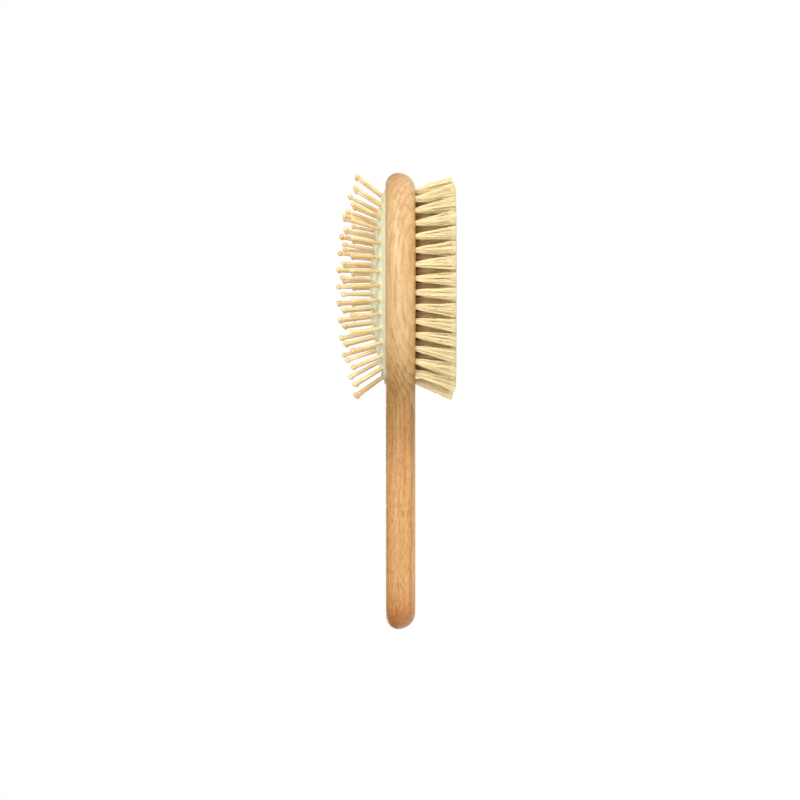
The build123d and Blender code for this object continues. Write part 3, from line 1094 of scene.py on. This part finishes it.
    def _map_strands(self, mesh: bpy.types.Mesh, count: int, random: np.random.Generator) -> None:
        """Maps every strand onto its own upright strip, so that its lot and its length can be read."""
        strip = 1 / self.lots
        lots = random.integers(0, self.lots, count) * strip
        length = self.levels
        quads = np.zeros((count, length, 3, 4, 2))
        left = lots[:, None, None] + strip * (np.arange(3) + 0.15)[None, None, :] / 3
        right = left + strip * 0.7 / 3
        start = (np.arange(length) / length)[None, :, None]
        end = start + 1 / length
        quads[..., 0, 0] = quads[..., 1, 0] = left
        quads[..., 2, 0] = quads[..., 3, 0] = right
        quads[..., 0, 1] = quads[..., 3, 1] = start
        quads[..., 1, 1] = quads[..., 2, 1] = end
        caps = np.zeros((count, 2, 3, 2))
        caps[..., 0] = lots[:, None, None] + strip * np.array([0.2, 0.8, 0.5])
        caps[:, 0, :, 1] = np.array([0.0, 0.0, 0.01])
        caps[:, 1, :, 1] = np.array([1.0, 1.0, 0.99])
        uv = np.concatenate([quads.reshape(count, -1), caps.reshape(count, -1)], 1)
        layer = mesh.uv_layers.new(name=STRAND_MAP, do_init=False)
        layer.uv.foreach_set("vector", uv.astype(np.float32).ravel())


# ---------------------------------------------------------------------------------------------
# Studio


@dataclass
class Softbox:
    """One square area light that looks at the middle of the brush."""

    name: str
    place: Triple
    side: float
    power: float
    tint: str = "FFFFFF"

    def build(self, aim: Vector) -> None:
        """Hangs the light and turns it towards the aim."""
        data = bpy.data.lights.new(self.name, "AREA")
        data.shape, data.size, data.energy = "SQUARE", self.side, self.power
        data.color = linear(self.tint)[:3]
        lamp = bpy.data.objects.new(self.name, data)
        lamp.location = Vector(self.place)
        lamp.rotation_mode = "QUATERNION"
        lamp.rotation_quaternion = (aim - lamp.location).to_track_quat("-Z", "Y")
        bpy.context.scene.collection.objects.link(lamp)


@dataclass
class Studio:
    """A long-lensed camera level with the wood, soft white light and a plain pale floor."""

    lens: float = 135.0
    sensor: float = 36.0
    field_width: float = 403.5 * MM
    aim: Span = (0.5 * MM, 28.25 * MM)
    floor_side: float = 6.0
    floor_drop: float = 0.05 * MM
    paper: tuple[str, str] = ("F4F4F2", "FAFAF9")
    paper_grain: Triple = (1.5, 1.5, 1.5)
    glow: Span = (0.45, 0.75)
    glow_span: Span = (120.0, 900.0)
    surround: float = 0.45
    lights: tuple[Softbox, ...] = (
        Softbox("key_softbox", (0.9, -1.3, 0.5), 0.7, 17.0),
        Softbox("front_softbox", (0.1, -1.75, 0.3), 0.9, 9.0),
        Softbox("top_softbox", (0.2, -0.2, 1.4), 1.0, 3.0),
        Softbox("back_softbox", (-0.4, 1.4, 0.6), 0.9, 9.0),
    )

    def build_camera(self) -> None:
        """Looks along +Y with the head up and the pins to the left."""
        data = bpy.data.cameras.new("camera")
        data.lens, data.sensor_width = self.lens, self.sensor
        distance = self.field_width * self.lens / self.sensor
        camera = bpy.data.objects.new("camera", data)
        right, up, back = Vector((0, 0, -1)), Vector((1, 0, 0)), Vector((0, -1, 0))
        turned = Matrix((right, up, back)).transposed().to_4x4()
        camera.matrix_world = Matrix.Translation((self.aim[0], -distance, self.aim[1])) @ turned
        bpy.context.scene.collection.objects.link(camera)
        bpy.context.scene.camera = camera

    def build_light(self) -> None:
        """Hangs the softboxes in a white room."""
        for light in self.lights:
            light.build(Vector((self.aim[0], 0, self.aim[1])))
        world = bpy.data.worlds.new("white_room")
        world.use_nodes = True
        nodes, links = world.node_tree.nodes, world.node_tree.links
        room = nodes["Background"]
        room.inputs["Color"].default_value = (1, 1, 1, 1)
        seen = nodes.new("ShaderNodeLightPath")
        level = nodes.new("ShaderNodeMapRange")
        level.inputs["To Min"].default_value = self.surround
        level.inputs["To Max"].default_value = 1.0
        links.new(seen.outputs["Is Camera Ray"], level.inputs["Value"])
        links.new(level.outputs["Result"], room.inputs["Strength"])
        bpy.context.scene.world = world
        bpy.context.scene.view_settings.view_transform = "Standard"

    def build_floor(self) -> None:
        """Lays the floor under the bristle tips, with a glow that keeps it white away from the brush."""
        half = self.floor_side / 2
        corners = np.array([(-half, -half, 0), (half, -half, 0), (half, half, 0), (-half, half, 0)])
        floor = new_piece("floor", corners - (0, 0, self.floor_drop), [(0, 1, 2, 3)])
        tree = ShaderTree("white_paper")
        place = tree.place()
        x, y, _ = tree.axes(place)
        tooth = tree.noise(place, self.paper_grain, 3.0)
        colour = tree.mix(tooth, linear(self.paper[0]), linear(self.paper[1]))
        away = ((x * x + y * y) ** 0.5).between(*self.glow_span)
        near, far = ((level, level, level, 1) for level in self.glow)
        glow = tree.mix(away, near, far)
        paper = tree.feed(
            Base_Color=colour,
            Roughness=0.9,
            Emission_Color=glow,
            Emission_Strength=1.0,
        )
        floor.data.materials.append(paper)


def main() -> None:
    """Builds the brush and its studio, piece by piece."""
    logging.basicConfig(level=logging.INFO, format="%(name)s: %(message)s")
    studio = Studio()
    studio.build_camera()
    wood = WoodenBody()
    wood.build()
    pins = WoodenPins()
    pins.build()
    AirCushion(wood.top, pins.pins()).build()
    tufts = BristleTufts(wood.bottom)
    for ring in TuftRing:
        tufts.build(ring)
    studio.build_light()
    studio.build_floor()


if __name__ == "__main__":
    main()
